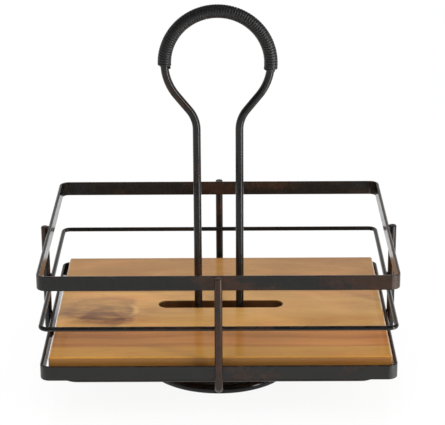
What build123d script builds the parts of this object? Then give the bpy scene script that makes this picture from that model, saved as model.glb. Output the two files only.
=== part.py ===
from build123d import *
import math
import os

# Revolving condiment caddy: a rectangular basket of flat rails and bent rods with a wooden
# board, carried by a ball-bearing turntable and lifted by a tall keyhole handle.
# Millimetres. +Z is up, +X runs to the right along the basket, +Y to its back.
# The origin is on the table, on the axis that the basket turns about.

# Basket, outside of the flat rails
basket_length = 216.0
basket_depth = 170.4
corner_radius = 6.0
rail_thickness = 2.0
rail_edge_radius = 0.45
rail_height = 9.0
rim_above_board = 54.0
rim_to_middle_wire = 34.1
board_above_bottom_rail = 4.5
middle_wire_diameter = 2.8

# Bent rods
rod_diameter = 4.8
rod_bend_radius = 7.0
rod_end_chamfer = 0.5
rod_end_from_axis = 8.5
support_inset_side = 13.0
support_inset_front = 8.2
support_corner_radius = 9.0
weld_gap = 0.05

# Handle and its winding
overall_height = 239.0
handle_rod_diameter = 5.0
leg_spacing = 26.6
loop_radius = 32.7
neck_radius = 20.0
neck_slope = 39.0
handle_foot_lift = 1.2
winding_cord_diameter = 1.65
winding_gap = 0.05
winding_turns = 24
winding_left_end = 2.5
winding_right_end = 7.5

# Board
board_thickness = 13.0
board_side_play = 4.4
board_front_play = 4.4
board_shift_right = 1.0
board_seat_gap = 0.3
board_edge_radius = 1.2
slot_side_clearance = 2.85
slot_width_clearance = 2.6
slot_edge_radius = 0.8
front_edge_stave_width = 15.0
front_inner_stave_width = 30.0
slotted_stave_width = 56.0
rear_inner_stave_width = 26.0

# Turntable
dish_radius = 47.5
dish_sheet = 1.2
dish_rim_lift = 0.8
dish_crown_rise = 3.8
dish_shoulder_radius = 2.6
dish_crown_bend_radius = 3.0
dish_slope_run = 4.7
dish_slope_inset_share = 0.333
foot_height = 4.0
foot_radius = 3.8
foot_circle_radius = 40.8
foot_count = 4
foot_edge_bevel = 0.45
race_radius = 29.5
race_thickness = 2.8
race_gap = 2.2
ball_diameter = 4.8
ball_circle_radius = 20.5
ball_count = 12
ball_clearance = 0.1
cage_thickness = 1.2
cage_ring_width = 7.0
mounting_plate_radius = 32.0
mounting_plate_thickness = 1.8

# Rivets
pivot_radius = 3.0
pivot_running_clearance = 0.08
pivot_head_radius = 5.2
pivot_head_height = 1.8
washer_radius = 7.0
washer_thickness = 0.8
washer_gap = 0.1
rivet_radius = 1.4
rivet_head_radius = 2.2
rivet_head_height = 0.9
rivet_count = 4
rivet_fit_gap = 0.02
base_rivet_circle = 11.5
plate_rivet_circle = 27.0

# Levels that follow, from the table up
shoulder_z = foot_height + dish_sheet
crown_z = shoulder_z + dish_crown_rise
lower_race_top_z = crown_z + race_thickness
upper_race_z = lower_race_top_z + race_gap
plate_z = upper_race_z + race_thickness
plate_top_z = plate_z + mounting_plate_thickness
ball_z = lower_race_top_z + race_gap / 2
cross_rod_z = plate_top_z + weld_gap + rod_diameter / 2
support_z = cross_rod_z + rod_diameter + weld_gap
board_z = support_z + rod_diameter / 2 + board_seat_gap
board_top_z = board_z + board_thickness
bottom_rail_z = board_top_z - board_above_bottom_rail - rail_height
rim_z = board_top_z + rim_above_board
middle_wire_z = rim_z - rim_to_middle_wire

# Widths that follow
wound_radius = handle_rod_diameter / 2 + winding_gap + winding_cord_diameter
winding_radius = wound_radius - winding_cord_diameter / 2
loop_z = overall_height - loop_radius - wound_radius
leg_x = leg_spacing / 2
board_length = basket_length - 2 * rail_thickness - board_side_play
board_depth = basket_depth - 2 * rail_thickness - board_front_play
slot_length = 2 * (loop_radius + wound_radius) + 2 * slot_side_clearance
slot_width = 2 * wound_radius + slot_width_clearance
dish_crown_radius = race_radius + 1.0


def ring_bar(z):
    """A flat bar on edge with rolled edges, bent to a rectangle and closed by a butt weld."""
    outside = RectangleRounded(basket_length, basket_depth, corner_radius)
    inside = RectangleRounded(
        basket_length - 2 * rail_thickness,
        basket_depth - 2 * rail_thickness,
        corner_radius - rail_thickness,
    )
    bar = extrude(outside - inside, rail_height)
    edges = bar.edges().group_by(Axis.Z)
    bar = fillet(edges[0] + edges[-1], rail_edge_radius)
    return Pos(0, 0, z) * bar


def ring_wire(length, depth, radius, diameter, z):
    """A round wire bent to a rectangle: a circle swept along the wire's centre line."""
    path = Pos(0, 0, z) * RectangleRounded(length, depth, radius).wire()
    start = path @ 0
    section = Plane(origin=start, z_dir=path % 0) * Circle(diameter / 2)
    return sweep(section, path=path)


def top_rail():
    return ring_bar(rim_z - rail_height)


def bottom_rail():
    return ring_bar(bottom_rail_z)


def middle_rail():
    """The round wire between the rails, level with their outer faces."""
    return ring_wire(
        basket_length - middle_wire_diameter,
        basket_depth - middle_wire_diameter,
        corner_radius - middle_wire_diameter / 2,
        middle_wire_diameter,
        middle_wire_z,
    )


def support_ring():
    """The rod ring under the board, which lies on the four bent rods."""
    return ring_wire(
        basket_length - 2 * support_inset_side,
        basket_depth - 2 * support_inset_front,
        support_corner_radius,
        rod_diameter,
        support_z,
    )


def bent_rod(half_span, turn):
    """One upright: down the outside of the rails, round a bend and in to the hub plate."""
    reach = half_span + weld_gap + rod_diameter / 2
    path = FilletPolyline(
        (reach, 0, rim_z),
        (reach, 0, cross_rod_z),
        (rod_end_from_axis, 0, cross_rod_z),
        radius=rod_bend_radius,
    )
    section = Plane(origin=path @ 0, z_dir=path % 0) * Circle(rod_diameter / 2)
    rod = sweep(section, path=path)
    top_edge = rod.edges().sort_by(Axis.Z)[-1]
    rod = chamfer(top_edge, rod_end_chamfer)
    return Rot(0, 0, turn) * rod


def handle_path():
    """Centre line of the keyhole: leg, outward bend, slanting neck, loop, and the same back."""
    slope = math.radians(neck_slope)
    touch_x = loop_radius * math.cos(slope)
    touch_z = loop_z - loop_radius * math.sin(slope)
    corner_z = touch_z - (touch_x - leg_x) / math.tan(slope)
    setback = neck_radius * math.tan(slope / 2)
    bend_z = corner_z - setback
    bend_end_x = leg_x + setback * math.sin(slope)
    bend_end_z = corner_z + setback * math.cos(slope)
    mid_x = leg_x + neck_radius * (1 - math.cos(slope / 2))
    mid_z = bend_z + neck_radius * math.sin(slope / 2)
    foot_z = cross_rod_z + handle_foot_lift
    top = (0, 0, loop_z + loop_radius)

    def half(side):
        foot, bend = (side * leg_x, 0, foot_z), (side * leg_x, 0, bend_z)
        bend_end, touch = (side * bend_end_x, 0, bend_end_z), (side * touch_x, 0, touch_z)
        return [
            Line(foot, bend).edge(),
            ThreePointArc(bend, (side * mid_x, 0, mid_z), bend_end).edge(),
            Line(bend_end, touch).edge(),
            ThreePointArc(touch, (side * loop_radius, 0, loop_z), top).edge(),
        ]

    return Wire(half(-1) + half(1))


def handle_rod():
    """The keyhole handle, its two ends coped to saddle the left and right rods."""
    path = handle_path()
    section = Plane(origin=path @ 0, z_dir=path % 0) * Circle(handle_rod_diameter / 2)
    rod = sweep(section, path=path)
    cope_length = leg_spacing + 4 * handle_rod_diameter
    cope = Cylinder(rod_diameter / 2 + weld_gap, cope_length)
    return rod - Pos(0, 0, cross_rod_z) * Rot(0, 90, 0) * cope


def winding_point(share):
    """A point of the winding: a helix carried round the handle's loop from left to right."""
    sweep_deg = 180 + winding_left_end + winding_right_end
    along = math.radians(180 + winding_left_end - share * sweep_deg)
    around = 2 * math.pi * winding_turns * share
    radius = loop_radius + winding_radius * math.cos(around)
    return Vector(
        radius * math.cos(along),
        winding_radius * math.sin(around),
        loop_z + radius * math.sin(along),
    )


def winding_tangent(share):
    """Unit direction of the winding at a point, by central difference."""
    step = 1e-5
    return (winding_point(share + step) - winding_point(share - step)).normalized()


def biarc(start, start_dir, end, end_dir):
    """Two arcs that leave and meet two points in the given directions, with one tangent between."""
    chord = end - start
    both = start_dir + end_dir
    spread = 2 * (1 - start_dir.dot(end_dir))
    lean = chord.dot(both)
    reach = (math.sqrt(lean**2 + spread * chord.dot(chord)) - lean) / spread
    joint = (start + end + (start_dir - end_dir) * reach) * 0.5
    joint_dir = ((end - end_dir * reach) - (start + start_dir * reach)).normalized()
    return [
        Edge.make_tangent_arc(start, start_dir, joint),
        Edge.make_tangent_arc(joint, joint_dir, end),
    ]


def grip_winding():
    """The cord wound round the loop, one tube on quarter-turn biarcs with short straight ends."""
    steps = 4 * winding_turns
    shares = [number / steps for number in range(steps + 1)]
    points = [winding_point(share) for share in shares]
    tangents = [winding_tangent(share) for share in shares]
    tail_start = points[0] - tangents[0] * winding_cord_diameter
    tail_end = points[-1] + tangents[-1] * winding_cord_diameter
    edges = [Edge.make_line(tail_start, points[0])]
    for number in range(steps):
        edges += biarc(points[number], tangents[number], points[number + 1], tangents[number + 1])
    edges.append(Edge.make_line(points[-1], tail_end))
    path = Wire(edges)
    section = Plane(origin=tail_start, z_dir=tangents[0]) * Circle(winding_cord_diameter / 2)
    return sweep(section, path=path), path


def winding_least_gap():
    """Least clear distance between turns, measured on points along the helix."""
    per_turn = 36
    total = per_turn * winding_turns
    points = [winding_point(number / total) for number in range(total + 1)]
    least = math.inf
    for number, point in enumerate(points):
        nearby = points[number + per_turn // 2 : number + 3 * per_turn // 2]
        for other in nearby:
            least = min(least, (other - point).length)
    return least - winding_cord_diameter


def board_blank():
    """The whole board with its long slot, before it is divided into the glued staves."""
    board = extrude(Rectangle(board_length, board_depth), board_thickness)
    board = fillet(board.edges(), board_edge_radius)
    slot = extrude(SlotOverall(slot_length, slot_width), board_thickness)
    board = board - slot
    top_face = board.faces().sort_by(Axis.Z)[-1]
    slot_edges = top_face.inner_wires()[0].edges()
    board = fillet(slot_edges, slot_edge_radius)
    return Pos(board_shift_right, 0, board_z) * board


def board_staves():
    """The staves, cut from one blank so that their glued faces meet."""
    blank = board_blank()
    front = -board_depth / 2
    widths = {
        "front_edge_stave": front_edge_stave_width,
        "front_inner_stave": front_inner_stave_width,
        "slotted_stave": slotted_stave_width,
        "rear_inner_stave": rear_inner_stave_width,
    }
    widths["back_stave"] = board_depth - sum(widths.values())
    staves = {}
    for name, width in widths.items():
        slab = Box(
            2 * board_length,
            width,
            2 * board_thickness,
            align=(Align.CENTER, Align.MIN, Align.CENTER),
        )
        staves[name] = blank & (Pos(0, front, board_z + board_thickness / 2) * slab)
        front += width
    return staves


def dish_form(inset, bend_change):
    """A revolved dish, drawn in by the sheet's thickness for the hollow inside."""
    slope_inset = inset * dish_slope_inset_share
    path = FilletPolyline(
        (0, crown_z - inset),
        (dish_crown_radius - slope_inset, crown_z - inset),
        (dish_crown_radius + dish_slope_run - slope_inset, shoulder_z - inset),
        (dish_radius - inset, shoulder_z - inset),
        (dish_radius - inset, dish_rim_lift),
        radius=[
            dish_crown_bend_radius - bend_change,
            dish_crown_bend_radius + bend_change,
            dish_shoulder_radius - bend_change,
        ],
    )
    back = Polyline((dish_radius - inset, dish_rim_lift), (0, dish_rim_lift), (0, crown_z - inset))
    return revolve(Plane.XZ * make_face(path + back), Axis.Z)


def round_hole(radius):
    """A tool that cuts a round hole on the turning axis, through the whole turntable."""
    return Cylinder(radius, 4 * plate_top_z)


def base_dish():
    """The pressed steel base, open underneath."""
    dish = dish_form(0, 0) - dish_form(dish_sheet, dish_sheet)
    dish -= round_hole(pivot_radius + rivet_fit_gap)
    for place in PolarLocations(base_rivet_circle, rivet_count, start_angle=45):
        dish -= place * round_hole(rivet_radius + rivet_fit_gap)
    return dish


def base_feet():
    """Rubber pads stuck under the dish's flat shoulder."""
    pad = Cylinder(foot_radius, foot_height, align=(Align.CENTER, Align.CENTER, Align.MIN))
    pad = chamfer(pad.edges().sort_by(Axis.Z)[0], foot_edge_bevel)
    return [place * pad for place in PolarLocations(foot_circle_radius, foot_count, start_angle=45)]


def race(z, bore_radius, rivet_circle):
    """A bearing ring with a round groove for the balls, centred on the bearing's mid plane."""
    ring = Cylinder(race_radius, race_thickness, align=(Align.CENTER, Align.CENTER, Align.MIN))
    ring = Pos(0, 0, z) * ring
    ring -= Pos(0, 0, ball_z) * Torus(ball_circle_radius, ball_diameter / 2 + ball_clearance)
    ring -= round_hole(bore_radius)
    for place in PolarLocations(rivet_circle, rivet_count, start_angle=45):
        ring -= place * round_hole(rivet_radius + rivet_fit_gap)
    return ring


def lower_race():
    return race(crown_z, pivot_radius + rivet_fit_gap, base_rivet_circle)


def upper_race():
    return race(upper_race_z, pivot_radius + pivot_running_clearance, plate_rivet_circle)


def ball_cage():
    """The ring that keeps the balls apart."""
    cage = Cylinder(ball_circle_radius + cage_ring_width / 2, cage_thickness)
    cage -= Cylinder(ball_circle_radius - cage_ring_width / 2, cage_thickness)
    for place in PolarLocations(ball_circle_radius, ball_count):
        cage -= place * Cylinder(ball_diameter / 2 + ball_clearance, cage_thickness)
    return Pos(0, 0, ball_z) * cage


def bearing_balls():
    ball = Sphere(ball_diameter / 2)
    places = PolarLocations(ball_circle_radius, ball_count)
    return [Pos(0, 0, ball_z) * place * ball for place in places]


def mounting_plate():
    """The round hub plate that the four bent rods are welded to."""
    plate = Cylinder(
        mounting_plate_radius,
        mounting_plate_thickness,
        align=(Align.CENTER, Align.CENTER, Align.MIN),
    )
    plate = Pos(0, 0, plate_z) * plate
    plate -= round_hole(pivot_radius + pivot_running_clearance)
    for place in PolarLocations(plate_rivet_circle, rivet_count, start_angle=45):
        plate -= place * round_hole(rivet_radius + rivet_fit_gap)
    return plate


def rivet(bottom_z, top_z, shank_radius, head_radius, head_height):
    """A rivet with a bevelled head at each end, from one gripped face to the other."""
    bevel = (head_radius - shank_radius) / 2
    outline = Polyline(
        (0, bottom_z - head_height),
        (head_radius - bevel, bottom_z - head_height),
        (head_radius, bottom_z - head_height + bevel),
        (head_radius, bottom_z),
        (shank_radius, bottom_z),
        (shank_radius, top_z),
        (head_radius, top_z),
        (head_radius, top_z + head_height - bevel),
        (head_radius - bevel, top_z + head_height),
        (0, top_z + head_height),
        (0, bottom_z - head_height),
    )
    return revolve(Plane.XZ * make_face(outline), Axis.Z)


def rivet_ring(circle, bottom_z, top_z):
    """Four small rivets on a circle, between the rods."""
    one = rivet(bottom_z, top_z, rivet_radius, rivet_head_radius, rivet_head_height)
    return [place * one for place in PolarLocations(circle, rivet_count, start_angle=45)]


def base_rivets():
    return rivet_ring(base_rivet_circle, crown_z - dish_sheet, lower_race_top_z)


def plate_rivets():
    return rivet_ring(plate_rivet_circle, upper_race_z, plate_top_z)


def pivot_washer():
    washer = Cylinder(washer_radius, washer_thickness, align=(Align.CENTER, Align.CENTER, Align.MIN))
    washer = Pos(0, 0, plate_top_z + washer_gap) * washer
    return washer - round_hole(pivot_radius + rivet_fit_gap)


def pivot_rivet():
    """The centre rivet, fast in the dish, that the basket turns on."""
    top_z = plate_top_z + washer_gap + washer_thickness
    return rivet(
        crown_z - dish_sheet, top_z, pivot_radius, pivot_head_radius, pivot_head_height
    )


def write(name, shape):
    """Write one piece, or a group of like pieces, under its own name."""
    if isinstance(shape, list):
        shape = Compound(children=shape)
    export_step(shape, os.path.join("parts", name + ".step"))


def main():
    os.makedirs("parts", exist_ok=True)
    winding, winding_path = grip_winding()
    pieces = {
        "base_dish": base_dish(),
        "base_feet": base_feet(),
        "lower_race": lower_race(),
        "base_rivets": base_rivets(),
        "pivot_rivet": pivot_rivet(),
        "pivot_washer": pivot_washer(),
        "ball_cage": ball_cage(),
        "bearing_balls": bearing_balls(),
        "upper_race": upper_race(),
        "plate_rivets": plate_rivets(),
        "mounting_plate": mounting_plate(),
        "right_upright": bent_rod(basket_length / 2, 0),
        "back_upright": bent_rod(basket_depth / 2, 90),
        "left_upright": bent_rod(basket_length / 2, 180),
        "front_upright": bent_rod(basket_depth / 2, 270),
        "support_ring": support_ring(),
        "bottom_rail": bottom_rail(),
        "middle_rail": middle_rail(),
        "top_rail": top_rail(),
        "handle_rod": handle_rod(),
        "grip_winding": winding,
    }
    pieces.update(board_staves())
    for name, shape in pieces.items():
        write(name, shape)
    cord_area = math.pi * winding_cord_diameter**2 / 4
    print(f"winding: least gap to itself {winding_least_gap():.2f} mm")
    print(f"winding: volume {winding.volume:.1f}, section x length {cord_area * winding_path.length:.1f}")


main()
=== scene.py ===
import math

import bpy
import numpy as np
from bpy.props import FloatProperty, FloatVectorProperty, IntProperty, PointerProperty
from bpy.types import Operator, Panel, PropertyGroup
from mathutils import Matrix, Vector


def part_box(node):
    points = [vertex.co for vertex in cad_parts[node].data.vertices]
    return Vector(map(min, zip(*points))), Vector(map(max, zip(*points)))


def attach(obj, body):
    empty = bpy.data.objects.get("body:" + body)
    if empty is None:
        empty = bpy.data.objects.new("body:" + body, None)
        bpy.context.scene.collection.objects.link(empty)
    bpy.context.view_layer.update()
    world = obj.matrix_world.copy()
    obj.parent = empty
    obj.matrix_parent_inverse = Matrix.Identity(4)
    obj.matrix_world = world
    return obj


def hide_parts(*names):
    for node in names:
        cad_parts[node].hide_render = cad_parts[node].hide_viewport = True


bl_info = {
    "name": "Revolving condiment caddy",
    "version": (1, 0, 0),
    "blender": (4, 5, 0),
    "location": "3D View > Sidebar > Caddy",
    "description": "Finishes, handle winding, weld fillets and studio of a revolving caddy",
    "category": "Add Mesh",
}

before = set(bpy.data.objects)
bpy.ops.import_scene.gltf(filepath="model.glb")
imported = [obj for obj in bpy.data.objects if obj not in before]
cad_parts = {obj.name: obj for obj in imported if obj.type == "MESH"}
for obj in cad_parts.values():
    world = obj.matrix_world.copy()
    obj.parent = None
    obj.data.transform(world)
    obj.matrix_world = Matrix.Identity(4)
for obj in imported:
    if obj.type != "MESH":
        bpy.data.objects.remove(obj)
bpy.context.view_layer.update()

MM = 0.001

# The flat bars: their nodes, and the corner and thickness that they are bent and rolled to, in mm.
RAILS = ("top_rail", "bottom_rail")
RAIL_CORNER = 6.0
RAIL_THICKNESS = 2.0

# How far a wound or welded piece stays off the rod that it lies on, in mm.
FIT_GAP = 0.05

# Half sizes of the beads on the middle wire and on the ring, as shares of the bead setting, and
# how far a bead on the wire is sunk into it, in mm.
WIRE_BEAD = (0.55, 1.75, 1.05)
RING_BEAD = (1.5, 1.5, 0.5)
BEAD_SUNK = 0.1

# Edge heights far from a piece, in mm, which leave its coat without wear.
NO_RUB = (-1.0, 300.0)


# -------------------------------- sizes read from the frame

def low(node):
    """Lowest corner of a CAD node, in millimetres."""
    return np.array(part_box(node)[0]) / MM


def high(node):
    """Highest corner of a CAD node, in millimetres."""
    return np.array(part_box(node)[1]) / MM


def rod_radius(node="left_upright"):
    """Half the thickness of a bent rod across its length."""
    return (high(node)[1] - low(node)[1]) / 2


# -------------------------------- settings

def colour_setting(name, description, default):
    """A colour that a user may change."""
    return FloatVectorProperty(name=name, description=description, default=default,
                               subtype="COLOR", size=3)


def length_setting(name, description, millimetres):
    """A small length that a user may change."""
    return FloatProperty(name=name, description=description, default=millimetres * MM,
                         unit="LENGTH", precision=5)


def angle_setting(name, description, degrees):
    """An angle that a user may change."""
    return FloatProperty(name=name, description=description, default=math.radians(degrees),
                         subtype="ANGLE")


def power_setting(name, description, watts):
    """The power of a lamp."""
    return FloatProperty(name=name, description=description, default=watts, unit="POWER")


class CaddyWinding(PropertyGroup):
    """Sizes of the cord wound on the handle."""
    turns: IntProperty(name="Turns", description="Turns of cord round the loop", default=67,
                       min=10, max=120)
    cord_height: length_setting("Cord height", "Thickness of the cord off the rod", 1.65)
    left_end: angle_setting("Left end", "How far the winding runs below level", 2.5)
    right_end: angle_setting("Right end", "How far the winding runs below level", 7.5)
    colour: colour_setting("Cord", "Colour of the waxed cord", (0.0055, 0.0055, 0.0054))


class CaddyWelds(PropertyGroup):
    """Sizes of the weld fillets."""
    rail_fillet: length_setting("Rail fillet", "Radius beside each upright", 0.7)
    hub_fillet: length_setting("Hub fillet", "Radius beside the rods on the hub", 1.2)
    bead: length_setting("Bead", "Half the size of a bead where rods cross", 1.7)


class CaddyMetal(PropertyGroup):
    """Colours of the bronze powder coat and the turntable."""
    dark: colour_setting("Dark bronze", "Main colour of the coat", (0.0060, 0.0056, 0.0050))
    warm: colour_setting("Warm bronze", "Patches where the coat is thin", (0.036, 0.018, 0.011))
    rubbed: colour_setting("Rubbed edge", "Worn edges", (0.080, 0.046, 0.030))
    enamel: colour_setting("Enamel", "Gloss black of the base dish", (0.003, 0.003, 0.0032))


class CaddyBoard(PropertyGroup):
    """Colours of the acacia staves. The dark grain of each is a share of its colour."""
    golden: colour_setting("Front edge", "Front edge stave", (0.470, 0.222, 0.034))
    red: colour_setting("Front inner", "Stave behind the front edge", (0.437, 0.170, 0.031))
    light: colour_setting("Slotted", "Light stave with the slot", (0.575, 0.305, 0.086))
    tan: colour_setting("Rear inner", "Tan stave behind the slot", (0.475, 0.235, 0.056))
    pink: colour_setting("Back", "Pinkish back stave", (0.460, 0.222, 0.056))
    knot: colour_setting("Knot", "Stain round the knot", (0.105, 0.037, 0.031))


class CaddyStage(PropertyGroup):
    """Camera, lamps and floor."""
    lens: FloatProperty(name="Lens", description="Focal length on a 36 mm sensor",
                        default=142.22, subtype="DISTANCE_CAMERA")
    place: FloatVectorProperty(name="Camera place", description="Where the camera stands",
                               default=(0.006117, -1.043764, 0.490121), subtype="TRANSLATION",
                               size=3)
    elevation: angle_setting("Elevation", "How far the camera looks down", 20.28)
    heading: angle_setting("Heading", "How far the camera looks to the right", -0.20)
    roll: angle_setting("Roll", "How far the camera leans", -0.32)
    floor_radius: FloatProperty(name="Floor", description="Radius of the round floor",
                                default=6.0, unit="LENGTH")
    key_power: power_setting("Key lamp", "Large lamp at the left", 11.5)
    strip_power: power_setting("Strip lamp", "Tall lamp at the right", 13.0)
    top_power: power_setting("Top lamp", "Lamp overhead", 11.5)
    front_power: power_setting("Front lamp", "Lamp by the camera", 2.6)
    ambient: FloatProperty(name="Ambient", description="Light from all round", default=0.50)
    ceiling: FloatProperty(name="Ceiling", description="How bright the ceiling reflects",
                           default=0.10)


# -------------------------------- meshes

def grid_faces(rows, columns, wrap_rows=False, wrap_columns=False):
    """Quads between neighbouring points of a grid, and each corner's row and column number."""
    row = np.arange(rows if wrap_rows else rows - 1)
    column = np.arange(columns if wrap_columns else columns - 1)
    row, column = (part.ravel() for part in np.meshgrid(row, column, indexing="ij"))
    corners = np.stack([
        np.stack([row, row + 1, row + 1, row], -1),
        np.stack([column, column, column + 1, column + 1], -1)], -1)
    faces = (corners[..., 0] % rows) * columns + corners[..., 1] % columns
    return faces, corners


def shell(grid, wrap_rows=False, caps=True, row_size=1.0):
    """A closed tube from a grid of rings: quads between rings, and a fan on each open end.

    The corner coordinates are the row number times row_size along, and the share of the ring
    round."""
    rows, columns = grid.shape[:2]
    points = grid.reshape(-1, 3)
    faces, corners = grid_faces(rows, columns, wrap_rows, True)
    uv = corners * np.array([row_size, 1.0 / columns])
    fans = np.zeros((0, 3), int)
    if caps and not wrap_rows:
        ring = np.arange(columns)
        after = (ring + 1) % columns
        first, last = len(points), len(points) + 1
        points = np.vstack([points, grid[0].mean(0), grid[-1].mean(0)])
        base = (rows - 1) * columns
        fans = np.vstack([
            np.stack([np.full(columns, first), after, ring], -1),
            np.stack([np.full(columns, last), base + ring, base + after], -1)])
    a, b, c, d = (points[faces[:, k]] for k in range(4))
    volume = (a * np.cross(b, c)).sum() + (a * np.cross(c, d)).sum()
    a, b, c = (points[fans[:, k]] for k in range(3))
    volume += (a * np.cross(b, c)).sum()
    if volume < 0:
        faces, uv, fans = faces[:, ::-1], uv[:, ::-1], fans[:, ::-1]
    return points, faces, uv, fans


def piece(name, shells, body, material, sharp=math.radians(40)):
    """One mesh object from closed shells given in millimetres, riding on a CAD body."""
    points, faces, uvs, start = [], [], [], 0
    for shell_points, quads, uv, fans in shells:
        points.append(shell_points * MM)
        faces += (quads + start).tolist() + (fans + start).tolist()
        uvs.append(uv.reshape(-1, 2))
        uvs.append(np.zeros((fans.size, 2)))
        start += len(shell_points)
    mesh = bpy.data.meshes.new(name)
    mesh.from_pydata(np.vstack(points).tolist(), [], faces)
    layer = mesh.uv_layers.new(name="along_round")
    layer.data.foreach_set("uv", np.vstack(uvs).astype(np.float32).ravel())
    mesh.polygons.foreach_set("use_smooth", np.ones(len(mesh.polygons), bool))
    mesh.set_sharp_from_angle(angle=sharp)
    mesh.materials.append(material)
    made = bpy.data.objects.new(name, mesh)
    bpy.context.scene.collection.objects.link(made)
    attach(made, body)
    return made


def turned(made, degrees):
    """A shell turned about the vertical axis."""
    points, *rest = made
    angle = math.radians(degrees)
    turn = np.array([[math.cos(angle), -math.sin(angle), 0],
                     [math.sin(angle), math.cos(angle), 0], [0, 0, 1]])
    return (points @ turn.T, *rest)


def fillet_section(radius, gap, fillet, steps=7):
    """Outline of the weld beside a round rod that lies on a flat face.

    The face is the line x = 0 and the rod's centre is at (radius + gap, 0). The outline is the
    hollow arc that touches both, closed through a point inside the rod and one behind the face."""
    reach = math.sqrt((radius + fillet) ** 2 - (radius + gap - fillet) ** 2)
    centre = np.array([fillet, reach])
    rod = np.array([radius + gap, 0.0])
    toward = math.atan2(rod[1] - centre[1], rod[0] - centre[0])
    angle = np.linspace(math.pi, toward + 2 * math.pi, steps)
    arc = centre + fillet * np.stack([np.cos(angle), np.sin(angle)], -1)
    depth, waist, behind = 0.7, 0.3, -0.12
    inside = rod + (arc[-1] - rod) * depth
    return np.vstack([[behind, arc[0][1]], arc, inside, [behind, radius * waist]])


def fillet_strip(section, start, end, run, end_share):
    """A fillet carried along a line and drawn in over a run at both ends.

    Gives the grids of its distance off the face, its distance aside and its place along."""
    along = np.array([start, start + run, end - run, end])
    pull = np.array([end_share, 1.0, 1.0, end_share])
    core = section.mean(0)
    grown = core + (section[None] - core) * pull[:, None, None]
    return grown[..., 0], grown[..., 1], along[:, None] + 0 * grown[..., 0]


def bead(centre, half_sizes, steps=14):
    """A weld bead: an ellipsoid whose rings run from pole to pole, as a surface of two angles."""
    pole = 0.02
    polar = np.linspace(pole, math.pi - pole, steps)[:, None]
    round_angle = np.linspace(0, 2 * math.pi, 2 * steps, endpoint=False)[None, :]
    grid = np.stack([np.sin(polar) * np.cos(round_angle), np.sin(polar) * np.sin(round_angle),
                     np.cos(polar) + 0 * round_angle], -1)
    return shell(grid * np.array(half_sizes) + np.array(centre))


# -------------------------------- shader helpers

class Value:
    """An output of a shader node. Sums on it make Math nodes in the tree that it belongs to."""

    def __init__(self, socket):
        self.socket, self.tree = socket, socket.id_data

    def __add__(self, other):
        return maths("ADD", self, other)

    def __radd__(self, other):
        return maths("ADD", other, self)

    def __sub__(self, other):
        return maths("SUBTRACT", self, other)

    def __rsub__(self, other):
        return maths("SUBTRACT", other, self)

    def __mul__(self, other):
        return maths("MULTIPLY", self, other)

    def __truediv__(self, other):
        return maths("DIVIDE", self, other)

    def __neg__(self):
        return self * -1.0

    def __abs__(self):
        return maths("ABSOLUTE", self)


def shared_tree(*values):
    """The tree of the first of the values that is more than a number or a colour."""
    return next(value.tree for value in values if isinstance(value, Value))


def give(socket, value):
    """Links a value to an input, or sets a number, a place or a colour in it."""
    if isinstance(value, Value):
        value.tree.links.new(value.socket, socket)
    elif socket.type == "RGBA":
        socket.default_value = (*value, 1.0)
    else:
        socket.default_value = value


def fill_in(node, **inputs):
    """Gives each named input of a node its value."""
    for key, value in inputs.items():
        give(node.inputs[key.replace("_", " ")], value)


def add(tree, kind, options=None, **inputs):
    """A shader node with its options set and its named inputs filled in."""
    made = tree.nodes.new(kind)
    for key, value in (options or {}).items():
        setattr(made, key, value)
    fill_in(made, **inputs)
    return made


def maths(operation, *values, clamp=False):
    """The outcome of a Math node on one or more values."""
    made = add(shared_tree(*values), "ShaderNodeMath",
               {"operation": operation, "use_clamp": clamp})
    for socket, value in zip(made.inputs, values):
        give(socket, value)
    return Value(made.outputs[0])


def least(first, second):
    """The lesser of two values."""
    return maths("MINIMUM", first, second)


def most(first, second):
    """The greater of two values."""
    return maths("MAXIMUM", first, second)


def distance(first, second):
    """The root of the sum of two squares."""
    return maths("SQRT", first * first + second * second)


def vector(operation, first, second):
    """The outcome of a Vector Math node."""
    made = add(first.tree, "ShaderNodeVectorMath", {"operation": operation})
    give(made.inputs[0], first)
    give(made.inputs["Scale"] if operation == "SCALE" else made.inputs[1], second)
    return Value(made.outputs[0])


def mix(share, first, second, blend="MIX"):
    """The outcome of a colour Mix node."""
    made = add(shared_tree(share, first, second), "ShaderNodeMix",
               {"data_type": "RGBA", "blend_type": blend})
    for number, value in ((0, share), (6, first), (7, second)):
        give(made.inputs[number], value)
    return Value(made.outputs[2])


def shaded(colour, tone):
    """A colour times a tone or a tint."""
    return mix(1.0, colour, tone, "MULTIPLY")


def ramp(value, low_in, high_in, low_out=0.0, high_out=1.0):
    """A smooth change from one value to another."""
    made = add(value.tree, "ShaderNodeMapRange", {"interpolation_type": "SMOOTHSTEP"},
               Value=value, From_Min=low_in, From_Max=high_in, To_Min=low_out, To_Max=high_out)
    return Value(made.outputs[0])


def noise(place, scale=1.0, detail=2.0, roughness=0.5, stretch=None):
    """The grey output of a noise on a place in millimetres, stretched along the axes."""
    if stretch:
        place = vector("MULTIPLY", place, stretch)
    made = add(place.tree, "ShaderNodeTexNoise", Vector=place, Scale=scale, Detail=detail,
               Roughness=roughness)
    return Value(made.outputs[0])


def line_noise(value, scale, detail, roughness):
    """The grey output of a noise on one value."""
    made = add(value.tree, "ShaderNodeTexNoise", {"noise_dimensions": "1D"}, W=value,
               Scale=scale, Detail=detail, Roughness=roughness)
    return Value(made.outputs[0])


def spread(grey, low_out, high_out):
    """Stretches the middle of a noise, where nearly all of it lies, from one value to another."""
    return ramp(grey, 0.3, 0.7, low_out, high_out)


def coordinate(tree, kind):
    """One of the outputs of a Texture Coordinate node."""
    return Value(tree.nodes.new("ShaderNodeTexCoord").outputs[kind])


def place_mm(tree):
    """Place on the object in millimetres, from its own coordinates."""
    return vector("SCALE", coordinate(tree, "Object"), 1 / MM)


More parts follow.
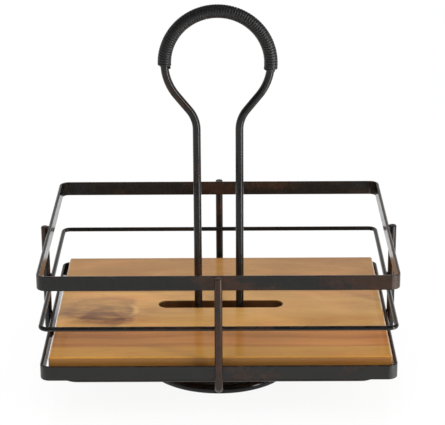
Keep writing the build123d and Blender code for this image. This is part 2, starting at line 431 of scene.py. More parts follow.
def split(place):
    """The x, y and z of a place."""
    made = add(place.tree, "ShaderNodeSeparateXYZ", Vector=place)
    return [Value(socket) for socket in made.outputs]


def upward(tree):
    """How far a face of the object looks up: 1 up, 0 level and -1 down."""
    return split(coordinate(tree, "Normal"))[2]


def group(name, inputs, outputs, fill):
    """A shader node group, built once: fill(tree, inputs) gives its outputs by name."""
    if name in bpy.data.node_groups:
        return bpy.data.node_groups[name]
    tree = bpy.data.node_groups.new(name, "ShaderNodeTree")
    for key, value in inputs.items():
        kind = COLOUR if isinstance(value, tuple) else VALUE
        socket = tree.interface.new_socket(name=key, in_out="INPUT", socket_type=kind)
        socket.default_value = (*value, 1.0) if isinstance(value, tuple) else value
    for key, kind in outputs.items():
        tree.interface.new_socket(name=key, in_out="OUTPUT", socket_type=kind)
    entry = tree.nodes.new("NodeGroupInput")
    results = fill(tree, {key: Value(entry.outputs[key]) for key in inputs})
    leave = tree.nodes.new("NodeGroupOutput")
    for key, value in results.items():
        give(leave.inputs[key], value)
    return tree


def use(tree, which, **inputs):
    """A node group placed in a material with its own values: its outputs by name."""
    made = add(tree, "ShaderNodeGroup", {"node_tree": which}, **inputs)
    return {socket.name: Value(socket) for socket in made.outputs}


COLOUR, VALUE = "NodeSocketColor", "NodeSocketFloat"


def speckle_group():
    """Fine speckle of a sprayed coat: soft orange peel with a rare speck, and larger mottling."""
    def fill(tree, entry):
        place = place_mm(tree)
        peel = noise(place, 1.6, 2.0, 0.5)
        speck = ramp(noise(place, 3.1, 1.0, 0.5), 0.70, 0.78)
        return {"Height": peel * entry["Peel"] + speck * 0.25,
                "Mottle": noise(place, 0.22, 4.0, 0.62)}
    return group("Coat speckle", {"Peel": 1.0}, {"Height": VALUE, "Mottle": VALUE}, fill)


def patch_group():
    """Large soft patches where the dark coat thins, longer along the piece than across it.

    Lean gives more of them toward +x. Heat gives more of them beside the uprights, where the
    smaller of |x| and |y| is the distance along a rail from the nearest one."""
    def fill(tree, entry):
        place = place_mm(tree)
        x, y, _ = split(place)
        heat = ramp(least(abs(x), abs(y)), 2.0, 30.0, 1.0, 0.0) * entry["Heat"]
        wanted = entry["Share"] + heat + x * 0.01 * entry["Lean"]
        shifted = vector("ADD", place, (37.0, 11.0, 53.0))
        broad = noise(shifted, 0.030, 3.0, 0.6, (0.55, 0.55, 1.0))
        fine = noise(shifted, 0.35, 4.0, 0.7)
        edge = 0.62 - wanted * 0.22
        return {"Mask": ramp(broad * 0.72 + fine * 0.28, edge, edge + 0.12)}
    return group("Thin coat patches", {"Share": 0.5, "Lean": 0.0, "Heat": 0.0}, {"Mask": VALUE},
                 fill)


def rub_group():
    """Wear along the lower and upper edge of a piece, broken up by a noise."""
    def fill(tree, entry):
        place = place_mm(tree)
        z = split(place)[2]
        near = least(z - entry["Low"], entry["High"] - z)
        band = maths("SUBTRACT", 1.0, near / entry["Width"], clamp=True)
        return {"Mask": band * ramp(noise(place, 0.12, 4.0, 0.7), 0.42, 0.62)}
    return group("Edge rub", {"Low": 0.0, "High": 10.0, "Width": 0.8}, {"Mask": VALUE}, fill)


def roll_group():
    """Height of a flat bar's edge, rolled round across the bar, in millimetres.

    The bar is bent to a rounded rectangle. The distance d from its outer line comes from the
    place: the length of the part of (|x|, |y|) beyond the corner's centre, less the corner. Across
    the bar d runs from -thickness to 0, and the height is a half circle over that, held just open
    at both ends so that its slope stays finite."""
    def fill(tree, entry):
        x, y, _ = split(place_mm(tree))
        corner, half = entry["Corner"], entry["Thickness"] / 2.0
        over = (abs(x) - (entry["Half Length"] - corner), abs(y) - (entry["Half Depth"] - corner))
        outside = distance(*(most(value, 0.0) for value in over))
        inside = least(most(*over), 0.0)
        share = (outside + inside - corner + half) / half
        return {"Height": maths("SQRT", 1.03 - share * share) * half}
    return group("Rolled edge", {"Half Length": 100.0, "Half Depth": 80.0, "Corner": RAIL_CORNER,
                                 "Thickness": RAIL_THICKNESS}, {"Height": VALUE}, fill)


def dust_group():
    """A thin settling of dust on faces that look up."""
    def fill(tree, entry):
        facing = ramp(upward(tree), 0.35, 0.95)
        fine = ramp(noise(place_mm(tree), 0.9, 4.0, 0.75), 0.45, 0.75)
        return {"Mask": facing * fine * entry["Amount"]}
    return group("Settled dust", {"Amount": 0.1}, {"Mask": VALUE}, fill)


def emptied(owner):
    """The tree of a new material or world, with nothing in it."""
    owner.use_nodes = True
    owner.node_tree.nodes.clear()
    return owner.node_tree


def new_material(name):
    """An empty material with its tree, Principled shader and a Bump feeding its Normal."""
    made = bpy.data.materials.new(name)
    tree = emptied(made)
    bump = tree.nodes.new("ShaderNodeBump")
    shader = add(tree, "ShaderNodeBsdfPrincipled", Normal=Value(bump.outputs[0]))
    add(tree, "ShaderNodeOutputMaterial", Surface=Value(shader.outputs[0]))
    return made, tree, shader, bump


def bronze(name, metal, share, low_edge, high_edge, rolled=None, lean=0.0, heat=0.0):
    """Dark bronze powder coat: near-black, brown where it is thin, lighter on rubbed edges.

    A flat bar gives its half length, half depth, corner and thickness as rolled, and its edges
    are then shaded as rolled round."""
    made, tree, shader, bump = new_material(name)
    speckle = use(tree, speckle_group(), Peel=1.0)
    patch = use(tree, patch_group(), Share=share, Lean=lean, Heat=heat)["Mask"]
    worn = use(tree, rub_group(), Low=low_edge, High=high_edge, Width=0.8)["Mask"]
    dust = use(tree, dust_group(), Amount=0.10)["Mask"]
    colour = mix(patch, tuple(metal.dark), tuple(metal.warm))
    colour = shaded(colour, spread(speckle["Mottle"], 0.82, 1.2))
    colour = mix(worn * 0.25, colour, tuple(metal.rubbed))
    fill_in(shader, Base_Color=mix(dust, colour, (0.20, 0.19, 0.17)),
            Roughness=spread(speckle["Mottle"], 0.16, 0.24) + dust * 0.8,
            Metallic=patch * 0.35, Specular_IOR_Level=0.32)
    fill_in(bump, Height=speckle["Height"], Strength=0.35, Distance=0.03 * MM)
    if rolled:
        length, depth, corner, thickness = rolled
        edge = use(tree, roll_group(), Half_Length=length, Half_Depth=depth, Corner=corner,
                   Thickness=thickness)["Height"]
        under = add(tree, "ShaderNodeBump", Height=edge, Distance=MM)
        fill_in(bump, Normal=Value(under.outputs[0]))
    return made


def enamel(name, metal):
    """Gloss black enamel with a faint ripple and a little dust."""
    made, tree, shader, bump = new_material(name)
    speckle = use(tree, speckle_group(), Peel=0.6)
    dust = use(tree, dust_group(), Amount=0.08)["Mask"]
    fill_in(shader, Base_Color=mix(dust, tuple(metal.enamel), (0.2, 0.19, 0.18)),
            Roughness=spread(speckle["Mottle"], 0.10, 0.17) + dust, Specular_IOR_Level=0.3,
            Coat_Weight=0.2, Coat_Roughness=0.05)
    fill_in(bump, Height=speckle["Height"], Strength=0.12, Distance=0.03 * MM)
    return made


def plated(name, colour, rough_low, rough_high, rings):
    """Plated or polished steel, with fine turning rings about the vertical axis."""
    made, tree, shader, bump = new_material(name)
    place = place_mm(tree)
    x, y, _ = split(place)
    cloud = noise(place, 0.15, 4.0, 0.6)
    fill_in(shader, Base_Color=shaded(colour, spread(cloud, 0.86, 1.05)),
            Roughness=spread(cloud, rough_low, rough_high), Metallic=1.0)
    fill_in(bump, Height=line_noise(distance(x, y), 4.0, 3.0, 0.5), Strength=rings,
            Distance=0.02 * MM)
    return made


def moulded(name, colour, rough, peel):
    """Moulded plastic or rubber: fine texture, slight mottling and dust."""
    made, tree, shader, bump = new_material(name)
    speckle = use(tree, speckle_group(), Peel=peel)
    dust = use(tree, dust_group(), Amount=0.12)["Mask"]
    shade = shaded(colour, spread(speckle["Mottle"], 0.88, 1.08))
    fill_in(shader, Base_Color=mix(dust, shade, (0.35, 0.33, 0.30)),
            Roughness=spread(speckle["Mottle"], rough - 0.06, rough + 0.08))
    fill_in(bump, Height=speckle["Height"], Strength=0.4, Distance=0.04 * MM)
    return made


def cord_material(name, colour):
    """Waxed black cord: its twisted strands follow the piece's own along and round values. Its
    colour carries painted shade in the grooves between strands and a painted highlight on their
    crests.
    """
    made, tree, shader, bump = new_material(name)
    uv = add(tree, "ShaderNodeUVMap", {"uv_map": "along_round"})
    along, around, _ = split(Value(uv.outputs[0]))
    strand = abs(maths("SINE", (along * 1.25 + around * 4.0) * math.pi))
    dust = use(tree, dust_group(), Amount=0.10)["Mask"]
    # Painted shade and painted highlight: the colour is darker in the grooves between the strands
    # and lighter on their crests.
    shade = shaded(colour, ramp(strand, 0.0, 0.8, 0.55, 1.25))
    fill_in(shader, Base_Color=mix(dust, shade, (0.16, 0.155, 0.15)),
            Roughness=spread(noise(place_mm(tree), 0.5, 4.0, 0.65), 0.36, 0.50),
            Specular_IOR_Level=0.40)
    fill_in(bump, Height=strand, Strength=0.45, Distance=0.08 * MM)
    return made


# -------------------------------- acacia

# The knot is this much longer along the grain than across it, and its pale ridge lies at this
# share of its size.
KNOT_STRETCH = 1.5
KNOT_RIDGE = 0.70

PORE_COLOUR = (0.11, 0.052, 0.022)
RIDGE_COLOUR = (0.78, 0.50, 0.20)
SLOT_WALL_COLOUR = (0.046, 0.012, 0.002)
GLUE_COLOUR = (0.10, 0.045, 0.018)
BLUSH_TINT = (1.0, 0.80, 0.88)
# Tint of the painted shade on faces that don't look up.
PAINTED_SIDE_SHADE_TINT = (0.82, 0.76, 0.80)


def knot_marks(entry, colour, place, bands, reach, near, knot_x, knot_y):
    """Lays the knot's clouded stain, paler behind it and past its ridge, and the ridge itself."""
    size = entry["Knot Size"]
    cloud = ramp(noise(place, 1.0, 5.0, 0.7, (0.05, 0.20, 0.20)), 0.34, 0.56, 0.45, 1.0)
    behind = ramp(knot_y, size * -0.9, size * 0.9, 1.0, 0.50)
    past = ramp(knot_x, 10.5, 13.5, 1.0, 0.30)
    stain = ramp(near, 0.03, 0.42) * cloud * behind * past
    stain = stain * ramp(bands, 0.0, 1.0, 0.70, 1.0) * 0.95
    ridge = ramp(abs(reach - KNOT_RIDGE), 0.02, 0.10, 1.0, 0.0)
    ridge = ridge * ramp(knot_x, 8.0, 12.0) * ramp(size, 0.0, 5.0) * 0.28
    return mix(ridge, mix(stain, colour, entry["Knot"]), RIDGE_COLOUR)


def darken_slot_walls(entry, colour, x, y):
    """Darkens the slot's walls: those within a hair of the slot's half width from its run."""
    beside = abs(x - entry["Slot Middle"]) - entry["Slot Run"]
    from_slot = distance(most(beside, 0.0), y)
    half = entry["Slot Half"]
    slot_dark = ramp(from_slot, half, half + 0.75, 1.0, 0.0)
    return mix(slot_dark * 0.92, colour, SLOT_WALL_COLOUR)


def grain_group():
    """Solid acacia: growth rings about a pith line along x, fibres, pores and one knot.

    The ring value is the distance from the pith line, after a slow wander, and it is raised near
    the knot's centre. A one-way noise on it gives rings of uneven width; fibres and pores are
    noises drawn out along x. Reddish streaks lie over them, the tone slopes along x, and faces
    that don't look up get painted shade, darker and redder, and have little gloss."""
    def fill(tree, entry):
        seed = entry["Seed"]
        own = place_mm(tree)
        x, y, z = split(own)
        apart = add(tree, "ShaderNodeCombineXYZ", X=seed * 61.0, Y=seed * 17.0, Z=seed)
        place = vector("ADD", own, Value(apart.outputs[0]))
        drift = add(tree, "ShaderNodeTexNoise", Scale=1.0, Detail=2.0, Roughness=0.45,
                    Vector=vector("MULTIPLY", place, (0.011, 0.022, 0.022)))
        *shifts, shade = split(Value(drift.outputs[1]))
        wood_y, wood_z = (value + (shift - 0.5) * entry["Wander"]
                          for value, shift in zip((y, z), shifts))

        knot_x = (x - entry["Knot X"]) / KNOT_STRETCH
        knot_y = wood_y - entry["Knot Y"]
        reach = distance(knot_x, knot_y) / (entry["Knot Size"] + 0.001)
        near = maths("EXPONENT", -(reach * reach))
        ring = distance(wood_y - entry["Pith Y"], wood_z - entry["Pith Z"])
        ring = ring + near * (entry["Knot Size"] * 0.28)
        turns = ring / entry["Ring Width"] + seed * 7.3

        broad = line_noise(turns, 1.0, 2.0, 0.6)
        thin = line_noise(turns, 4.5, 3.0, 0.65)
        fibre = noise(place, 1.0, 4.0, 0.65, (0.020, 1.5, 1.5))
        pore = ramp(noise(place, 1.0, 2.0, 0.5, (0.11, 2.6, 2.6)), 0.60, 0.70)
        bands = ramp(broad * 0.55 + thin * 0.25 + fibre * 0.20, 0.36, 0.66)
        colour = mix(bands * entry["Contrast"], entry["Light"], entry["Dark"])
        colour = shaded(colour, spread(shade, 0.90, 1.10) + x * entry["Slope"])
        streak = noise(place, 1.0, 3.0, 0.6, (0.016, 0.12, 0.12))
        blush = ramp(streak, 0.50, 0.68) * entry["Blush"]
        colour = mix(blush, colour, shaded(colour, BLUSH_TINT))

        colour = knot_marks(entry, colour, place, bands, reach, near, knot_x, knot_y)
        colour = mix(pore * 0.30, colour, PORE_COLOUR)
        colour = darken_slot_walls(entry, colour, x, y)
        # Painted shade: faces that don't look up are made darker and redder, and most of their
        # coat is taken off.
        side_shade_and_matt = ramp(abs(upward(tree)), 0.15, 0.90, 1.0, 0.0)
        colour = mix(side_shade_and_matt, colour, shaded(colour, PAINTED_SIDE_SHADE_TINT))
        glue = ramp(least(y - entry["Front"], entry["Back"] - y), 0.02, 0.28, 1.0, 0.0)
        colour = mix(glue * 0.40, colour, GLUE_COLOUR)
        return {"Color": colour,
                "Roughness": ramp(bands, 0.0, 1.0, 0.40, 0.50) + pore * 0.15,
                "Gloss": 1.0 - side_shade_and_matt * 0.85,
                "Height": fibre * 0.35 - (pore * 0.8 + glue * 0.6)}
    inputs = {"Light": (0.4, 0.2, 0.1), "Dark": (0.2, 0.1, 0.05), "Knot": (0.1, 0.05, 0.03),
              "Pith Y": 0.0, "Pith Z": -60.0, "Ring Width": 6.0, "Wander": 8.0, "Seed": 0.0,
              "Contrast": 0.8, "Slope": 0.0, "Blush": 0.6, "Knot X": 0.0, "Knot Y": 0.0,
              "Knot Size": 0.0, "Front": -9.0, "Back": 9.0, "Slot Middle": 0.0, "Slot Run": 0.0,
              "Slot Half": -1.0}
    outputs = {"Color": COLOUR, "Roughness": VALUE, "Gloss": VALUE, "Height": VALUE}
    return group("Acacia grain", inputs, outputs, fill)


def acacia(name, light, dark, **grain):
    """A satin-lacquered acacia stave."""
    made, tree, shader, bump = new_material(name)
    wood = use(tree, grain_group(), Light=light, Dark=dark, **grain)
    fill_in(shader, Base_Color=wood["Color"], Roughness=wood["Roughness"],
            Specular_IOR_Level=0.25, Coat_Weight=wood["Gloss"], Coat_Roughness=0.11)
    fill_in(bump, Height=wood["Height"], Strength=0.30, Distance=0.05 * MM)
    return made


def dress(node, material):
    """Gives a CAD node a finish on its own material slots."""
    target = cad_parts[node]
    if not target.material_slots:
        target.data.materials.append(material)
    for slot in target.material_slots:
        slot.material = material


# -------------------------------- operators

class CADDY_OT_basket_finish(Operator):
    """Bronze powder coat on the rails, rods, handle and hub plate"""
    bl_idname = "caddy.basket_finish"
    bl_label = "Basket finish"

    def execute(self, context):
        metal = context.scene.caddy_metal
        shares = {"top_rail": 0.40, "bottom_rail": 0.50, "middle_rail": 0.45, "support_ring": 0.4,
                  "handle_rod": 0.60, "mounting_plate": 0.3, "front_upright": 0.95,
                  "back_upright": 0.5, "left_upright": 0.6, "right_upright": 0.6}
        leans = {"top_rail": (0.50, 0.42), "bottom_rail": (0.30, 0.22), "handle_rod": (-1.1, 0.0)}
        for node, share in shares.items():
            rolled = None
            if node in RAILS:
                rolled = (*high(node)[:2], RAIL_CORNER, RAIL_THICKNESS)
            lean, heat = leans.get(node, (0.0, 0.0))
            dress(node, bronze("bronze_" + node, metal, share, low(node)[2], high(node)[2],
                               rolled=rolled, lean=lean, heat=heat))
        return {"FINISHED"}


class CADDY_OT_board_finish(Operator):
    """Lacquered acacia on the five staves, each with its own grain"""
    bl_idname = "caddy.board_finish"
    bl_label = "Board finish"

    def execute(self, context):
        board = context.scene.caddy_board
        grains = {
            "front_edge_stave": (board.golden, 0.60, dict(Pith_Y=-74.0, Pith_Z=-30.0, Seed=1.3,
                                                          Ring_Width=5.0, Wander=5.0)),
            "front_inner_stave": (board.red, 0.62, dict(Pith_Y=-30.0, Pith_Z=-5.0, Seed=2.1,
                                                        Ring_Width=5.5, Wander=7.0, Slope=0.0011,
                                                        Blush=0.9)),
            "slotted_stave": (board.light, 0.66, dict(Pith_Y=-8.0, Pith_Z=-90.0, Seed=3.7,
                                                      Ring_Width=7.0, Wander=16.0, Knot_X=-72.0,
                                                      Knot_Y=-11.0, Knot_Size=18.0,
                                                      Slot_Middle=1.0, Slot_Run=34.25,
                                                      Slot_Half=5.55, Slope=-0.0010)),
            "rear_inner_stave": (board.tan, 0.66, dict(Pith_Y=60.0, Pith_Z=0.0, Seed=4.9,
                                                       Ring_Width=5.5, Wander=9.0)),
            "back_stave": (board.pink, 0.66, dict(Pith_Y=62.0, Pith_Z=-70.0, Seed=6.4,
                                                  Ring_Width=6.0, Wander=11.0, Slope=-0.0010)),
        }
        for node, (light, depth, grain) in grains.items():
            dark = tuple(part * depth for part in light)
            light = tuple(light)
            dress(node, acacia("acacia_" + node, light, dark, Knot=tuple(board.knot),
                               Front=low(node)[1], Back=high(node)[1], **grain))
        return {"FINISHED"}


class CADDY_OT_turntable_finish(Operator):
    """Enamel, plated steel, rubber and plastic on the turntable's pieces"""
    bl_idname = "caddy.turntable_finish"
    bl_label = "Turntable finish"

    def execute(self, context):
        metal = context.scene.caddy_metal
        dress("base_dish", enamel("gloss_black_enamel", metal))
        dress("base_feet", moulded("foot_rubber", (0.028, 0.028, 0.028), 0.78, 1.0))
        zinc = plated("zinc_plate", (0.56, 0.56, 0.54), 0.28, 0.42, 0.25)
        for node in ("lower_race", "upper_race", "pivot_rivet", "pivot_washer", "base_rivets",
                     "plate_rivets"):
            dress(node, zinc)
        dress("bearing_balls", plated("polished_steel", (0.72, 0.72, 0.73), 0.06, 0.12, 0.0))
        dress("ball_cage", moulded("cage_plastic", (0.72, 0.71, 0.66), 0.45, 0.5))
        return {"FINISHED"}


class CADDY_OT_handle_winding(Operator):
    """The cord wound close round the loop of the handle"""
    bl_idname = "caddy.handle_winding"
    bl_label = "Handle winding"

    def execute(self, context):
        sizes = context.scene.caddy_winding
        rod = rod_radius("handle_rod")
        loop = high("handle_rod")[0] - rod
        level = high("handle_rod")[2] - rod - loop
        shells = [winding_strand(sizes, rod, loop, level), winding_tail(sizes, rod, loop, level)]
        made = piece("handle_winding", shells, "basket",
                     cord_material("waxed_black_cord", tuple(sizes.colour)))
        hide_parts("grip_winding")
        return {"FINISHED"}


def winding_strand(sizes, rod, loop, level, per_turn=28, sides=16):
    """The wound strand as a surface of two angles.

    Its centre runs on a circle about the rod while it is carried round the loop. Its section is
    a rounded square: as high as the cord, and as wide as the pitch at that distance from the
    loop's centre, so each turn is pressed against the next. Both ends dive into the rod within
    less than half a turn."""
    dive, buried_share, squareness, pressed = 0.4, 0.95, 0.34, 0.985
    height = sizes.cord_height / MM
    carry = rod + FIT_GAP + height / 2
    share = np.linspace(0, 1, sizes.turns * per_turn + 1)
    span = math.pi + sizes.left_end + sizes.right_end
    along = math.pi + sizes.left_end - share * span
    about = 2 * math.pi * sizes.turns * share
    buried = np.clip(1 - np.minimum(share, 1 - share) * sizes.turns / dive, 0, 1) ** 2
    radius = carry - buried * height * buried_share
    out = loop + radius * np.cos(about)
    centre = np.stack([out * np.cos(along), radius * np.sin(about),
                       level + out * np.sin(along)], -1)
    away = np.stack([np.cos(about) * np.cos(along), np.sin(about),
                     np.cos(about) * np.sin(along)], -1)
    step = np.gradient(centre, axis=0)
    step /= np.linalg.norm(step, axis=1, keepdims=True)
    side = np.cross(step, away)
    side /= np.linalg.norm(side, axis=1, keepdims=True)
    width = out * span / sizes.turns * pressed
    turn = np.linspace(0, 2 * math.pi, sides, endpoint=False)
    tall, wide = (np.sign(part) * np.abs(part) ** squareness
                  for part in (np.cos(turn), np.sin(turn)))
    grid = (centre[:, None] + away[:, None] * (tall * height / 2)[None, :, None]
            + side[:, None] * (width[:, None] / 2 * wide[None, :])[..., None])
    return shell(grid, row_size=2 * math.pi * carry / per_turn)


def winding_tail(sizes, rod, loop, level, steps=24, sides=12):
    """The short end of the cord laid along the inner side of the rod, rounded at its tip."""
    flattened, tip, sunk, forward = 0.8, 0.18, 0.1, 0.4
    start, end = -0.05, math.radians(4.2)
    height = sizes.cord_height / MM * flattened
    along = math.pi + sizes.left_end + np.linspace(start, end, steps)
    to_tip = np.clip((np.linspace(0, 1, steps) - (1 - tip)) / tip, 0, 1)
    thick = height / 2 * np.sqrt(np.clip(1 - to_tip ** 2, 0.01, 1))
    out = loop - rod - height / 2 + sunk
    centre = np.stack([out * np.cos(along), 0 * along - forward, level + out * np.sin(along)], -1)
    away = np.stack([np.cos(along), 0 * along, np.sin(along)], -1)
    side = np.array([0.0, 1.0, 0.0])
    turn = np.linspace(0, 2 * math.pi, sides, endpoint=False)
    grid = (centre[:, None] + thick[:, None, None] * (
        away[:, None] * np.cos(turn)[None, :, None] + side * np.sin(turn)[None, :, None]))
    return shell(grid, row_size=0.4)


class CADDY_OT_rail_welds(Operator):
    """Weld fillets beside the uprights on both flat rails, and beads on the middle wire"""
    bl_idname = "caddy.rail_welds"
    bl_label = "Rail welds"

    def execute(self, context):
        sizes = context.scene.caddy_welds
        fillet, size = sizes.rail_fillet / MM, sizes.bead / MM
        wire = high("middle_rail")
        level = (wire[2] + low("middle_rail")[2]) / 2
        shells = []
        for number in range(4):
            face = high("top_rail")[number % 2]
            made = [strip for rail in RAILS for strip in rail_fillets(rail, face, fillet)]
            made.append(bead((wire[number % 2] - BEAD_SUNK, 0, level),
                             [share * size for share in WIRE_BEAD]))
            shells += [turned(part, 90 * number) for part in made]
        piece("rail_welds", shells, "basket",
              bronze("bronze_rail_welds", context.scene.caddy_metal, 0.6, *NO_RUB))
        return {"FINISHED"}


def rail_fillets(rail, face, fillet):
    """Two fillet strips, one each side of an upright, carried up the height of a rail."""
    inset, run, end_share = 0.5, 0.5, 0.72
    section = fillet_section(rod_radius(), FIT_GAP, fillet)
    strips = []
    for side in (1, -1):
        off, aside, up = fillet_strip(section, low(rail)[2] + inset, high(rail)[2] - inset, run,
                                      end_share)
        strips.append(shell(np.stack([face + off, side * aside, up], -1)))
    return strips


class CADDY_OT_hub_welds(Operator):
    """Weld fillets of the four rods on the hub plate, the ring and the handle's feet"""
    bl_idname = "caddy.hub_welds"
    bl_label = "Hub welds"

    def execute(self, context):
        sizes = context.scene.caddy_welds
        radius, size = rod_radius(), sizes.bead / MM
        section = fillet_section(radius, FIT_GAP, sizes.hub_fillet / MM)
        from_end, clear_of_rivet, from_rim, run, end_share = 1.0, 9.0, 1.2, 0.8, 0.6
        inner = max(low("right_upright")[0] + from_end, clear_of_rivet)
        outer = high("mounting_plate")[0] - from_rim
        top = high("mounting_plate")[2]
        ring_z = (low("support_ring")[2] + high("support_ring")[2]) / 2
        rod_z = low("right_upright")[2] + radius
        shells = []
        for number in range(4):
            made = []
            for side in (1, -1):
                off, aside, along = fillet_strip(section, inner, outer, run, end_share)
                made.append(shell(np.stack([along, side * aside, top + off], -1)))
            at = high("support_ring")[number % 2] - radius
            made.append(bead((at, 0, (ring_z + rod_z) / 2),
                             [share * size for share in RING_BEAD]))
            shells += [turned(part, 90 * number) for part in made]
        shells += [foot_collar(side, rod_z) for side in (1, -1)]
        piece("hub_welds", shells, "basket",
              bronze("bronze_hub_welds", context.scene.caddy_metal, 0.5, *NO_RUB))
        return {"FINISHED"}


def foot_collar(side, rod_z, around=48, sides=10, thick=0.75):
    """A weld ring round a handle foot, on the curve where the upright leg meets the lying rod."""
    widest = 0.96
    leg = rod_radius("handle_rod")
    rod = rod_radius() + FIT_GAP
    angle = np.linspace(0, 2 * math.pi, around, endpoint=False)
    flat = np.clip(leg * np.sin(angle), -widest * rod, widest * rod)
    centre = np.stack([side * leg_centre() + leg * np.cos(angle), flat,
                       rod_z + np.sqrt(rod**2 - flat**2)], -1)
    away = np.stack([np.cos(angle), np.sin(angle), 0 * angle], -1)
    turn = np.linspace(0, 2 * math.pi, sides, endpoint=False)
    up = np.array([0.0, 0.0, 1.0])
    grid = (centre[:, None] + thick * (away[:, None] * np.cos(turn)[None, :, None]
                                       + up * np.sin(turn)[None, :, None]))
    return shell(grid, wrap_rows=True)


def leg_centre():
    """How far each leg of the handle stands from the middle, read from the rod's lowest points."""
    foot_height = 12
    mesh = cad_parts["handle_rod"].data
    points = np.zeros(len(mesh.vertices) * 3, np.float32)
    mesh.vertices.foreach_get("co", points)
    points = points.reshape(-1, 3) / MM
    foot = points[(points[:, 2] < points[:, 2].min() + foot_height) & (points[:, 0] > 0)]
    return float((foot[:, 0].min() + foot[:, 0].max()) / 2)


# Each lamp's place, its width and height, in metres, and whether it shows in reflections.
LAMPS = {
    "key": ((-1.0, -0.9, 1.25), (1.1, 1.1), False),
    "strip": ((1.10, -0.71, 0.68), (0.24, 1.3), True),
    "top": ((0.0, 0.35, 1.6), (1.0, 1.0), False),
    "front": ((0.35, -1.5, 0.75), (0.8, 0.8), False),
}
LAMPS_LOOK_AT = Vector((0, 0, 0.08))

# Painted light: a wedge of floor that glows, for reflections only, as the strip lamp's light on
# the floor: its bearing to the right of the front, how far it reaches full and any light to each
# side of that, and how bright it is.
STRIP_BEARING = math.radians(57)
STRIP_FULL = math.radians(4)
STRIP_END = math.radians(9)
STRIP_GAIN = 11.0


class CADDY_OT_stage(Operator):
    """Floor, lamps, surroundings and camera"""
    bl_idname = "caddy.stage"
    bl_label = "Stage"

    def execute(self, context):
        sizes = context.scene.caddy_stage
        floor(sizes)
        surroundings(sizes)
        for name, (place, size, glossy) in LAMPS.items():
            lamp(name + "_lamp", getattr(sizes, name + "_power"), place, size, glossy)
        camera(sizes)
        return {"FINISHED"}


def floor(sizes, rings=24, around=96):
    """A round floor: rings of points about the object, closer near it."""
    radius = sizes.floor_radius * np.linspace(0, 1, rings)[:, None] ** 2
    angle = np.linspace(0, 2 * math.pi, around, endpoint=False)[None, :]
    grid = np.stack([radius * np.cos(angle), radius * np.sin(angle), 0 * radius + 0 * angle], -1)
    points = np.vstack([grid[1:].reshape(-1, 3), [[0, 0, 0]]])
    faces, _ = grid_faces(rings - 1, around, False, True)
    ring = np.arange(around)
    fan = np.stack([np.full(around, len(points) - 1), ring, (ring + 1) % around], -1)
    mesh = bpy.data.meshes.new("floor")
    mesh.from_pydata(points.tolist(), [], faces.tolist() + fan.tolist())
    mesh.materials.append(floor_material())
    made = bpy.data.objects.new("floor", mesh)
    bpy.context.scene.collection.objects.link(made)


def rays(tree):
    """Whether a ray comes from the camera, off a glossy face or through a clear one."""
    path = tree.nodes.new("ShaderNodeLightPath")
    return (Value(path.outputs["Is Camera Ray"]), Value(path.outputs["Is Glossy Ray"]),
            Value(path.outputs["Is Transmission Ray"]))


def floor_material():
    """A pale floor that shows white to the camera and keeps a soft share of the shadow. In
    reflections a wedge of it toward the strip lamp glows, as painted light.
    """
    made = bpy.data.materials.new("pale_floor")
    tree = emptied(made)
    place = coordinate(tree, "Object")
    x, y, _ = split(place)
    faint = noise(vector("SCALE", place, 1 / MM), 0.01, 3.0)
    diffuse = add(tree, "ShaderNodeBsdfDiffuse",
                  Color=mix(faint, (0.90, 0.90, 0.90), (0.93, 0.93, 0.93)))
    direct, glossy, through = rays(tree)
    # Painted light: a wedge of floor toward the strip lamp glows for glossy rays only, so that
    # upright rods reflect a streak of it.
    off = abs(maths("ARCTAN2", x, -y) - STRIP_BEARING)
    strip = ramp(off, STRIP_FULL, STRIP_END, 1.0, 0.0) * glossy
    white = add(tree, "ShaderNodeEmission", Color=(1, 1, 1), Strength=1.0 + strip * STRIP_GAIN)
    away = distance(x, y)
    clear = direct * ramp(away, 0.10, 0.36, 0.92, 1.0)
    near = most(ramp(away, 0.12, 0.32, 0.0, 1.0), ramp(away, 0.050, 0.060, 0.8, 0.0))
    both = add(tree, "ShaderNodeMixShader", Fac=most(clear, most(glossy, through) * near))
    give(both.inputs[1], Value(diffuse.outputs[0]))
    give(both.inputs[2], Value(white.outputs[0]))
    add(tree, "ShaderNodeOutputMaterial", Surface=Value(both.outputs[0]))
    return made


def surroundings(sizes):
    """White for the camera; in reflections white behind and beside the object, and dim overhead
    and behind the camera; softer still as light."""
    world = bpy.data.worlds.new("white_studio")
    tree = emptied(world)
    _, toward_back, up = split(coordinate(tree, "Generated"))
    height = ramp(up, 0.05, 0.55, 1.0, sizes.ceiling)
    front = ramp(toward_back, -0.55, 0.1, sizes.ceiling, 1.0)
    direct, glossy, through = rays(tree)
    clear = most(direct, through)
    bright = most(clear, glossy * height * front)
    rest = (1.0 - most(clear, glossy)) * sizes.ambient
    back = add(tree, "ShaderNodeBackground", Color=(1, 1, 1), Strength=bright + rest)
    add(tree, "ShaderNodeOutputWorld", Surface=Value(back.outputs[0]))
    bpy.context.scene.world = world
    bpy.context.scene.view_settings.view_transform = "Standard"


def lamp(name, power, place, size, glossy):
    """A soft lamp, wide by high, that looks at the middle of the basket."""
    light = bpy.data.lights.new(name, "AREA")
    light.energy = power
    light.shape = "RECTANGLE"
    light.size, light.size_y = size
    made = bpy.data.objects.new(name, light)
    made.visible_glossy = glossy
    look = (LAMPS_LOOK_AT - Vector(place)).to_track_quat("-Z", "Y").to_matrix().to_4x4()
    made.matrix_world = Matrix.Translation(place) @ look
    bpy.context.scene.collection.objects.link(made)


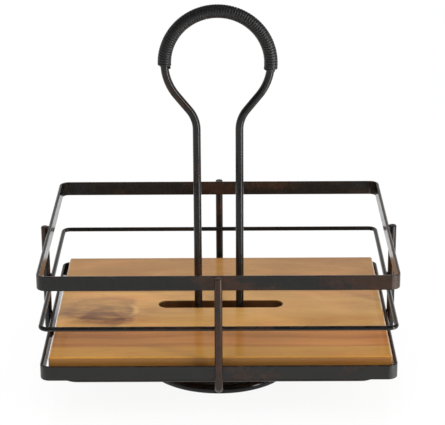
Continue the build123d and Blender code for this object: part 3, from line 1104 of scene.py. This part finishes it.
def camera(sizes):
    """The camera at the picture's height, heading and lean."""
    lens = bpy.data.cameras.new("camera")
    lens.lens = sizes.lens
    lens.sensor_width = 36.0
    lens.sensor_fit = "HORIZONTAL"
    lens.clip_end = 50.0
    made = bpy.data.objects.new("camera", lens)
    down, heading, roll = sizes.elevation, sizes.heading, sizes.roll
    ahead = Vector((math.cos(down) * math.sin(heading), math.cos(down) * math.cos(heading),
                    -math.sin(down)))
    right = Vector((math.cos(heading), -math.sin(heading), 0))
    up = right.cross(ahead)
    leaned = right * math.cos(roll) + up * math.sin(roll)
    top = up * math.cos(roll) - right * math.sin(roll)
    made.matrix_world = Matrix.Translation(sizes.place) @ Matrix(
        (leaned, top, -ahead)).transposed().to_4x4()
    bpy.context.scene.collection.objects.link(made)
    bpy.context.scene.camera = made


# -------------------------------- panel and registration

ORDER = ("basket_finish", "board_finish", "turntable_finish", "handle_winding", "rail_welds",
         "hub_welds", "stage")


class CADDY_PT_panel(Panel):
    """Lists the pieces and their settings"""
    bl_idname = "CADDY_PT_panel"
    bl_label = "Revolving caddy"
    bl_space_type = "VIEW_3D"
    bl_region_type = "UI"
    bl_category = "Caddy"

    def draw(self, context):
        for name in ORDER:
            self.layout.operator("caddy." + name)
        for settings in SETTINGS:
            box = self.layout.box()
            box.label(text=settings.removeprefix("caddy_").title())
            values = getattr(context.scene, settings)
            for key in values.__annotations__:
                box.prop(values, key)


SETTINGS = {"caddy_winding": CaddyWinding, "caddy_welds": CaddyWelds, "caddy_metal": CaddyMetal,
            "caddy_board": CaddyBoard, "caddy_stage": CaddyStage}
CLASSES = (*SETTINGS.values(), CADDY_OT_basket_finish, CADDY_OT_board_finish,
           CADDY_OT_turntable_finish, CADDY_OT_handle_winding, CADDY_OT_rail_welds,
           CADDY_OT_hub_welds, CADDY_OT_stage, CADDY_PT_panel)


def register():
    for item in CLASSES:
        bpy.utils.register_class(item)
    for name, kind in SETTINGS.items():
        setattr(bpy.types.Scene, name, PointerProperty(type=kind))


def unregister():
    for name in SETTINGS:
        delattr(bpy.types.Scene, name)
    for item in reversed(CLASSES):
        bpy.utils.unregister_class(item)


def main():
    register()
    for name in ORDER:
        getattr(bpy.ops.caddy, name)()


if __name__ == "__main__":
    main()
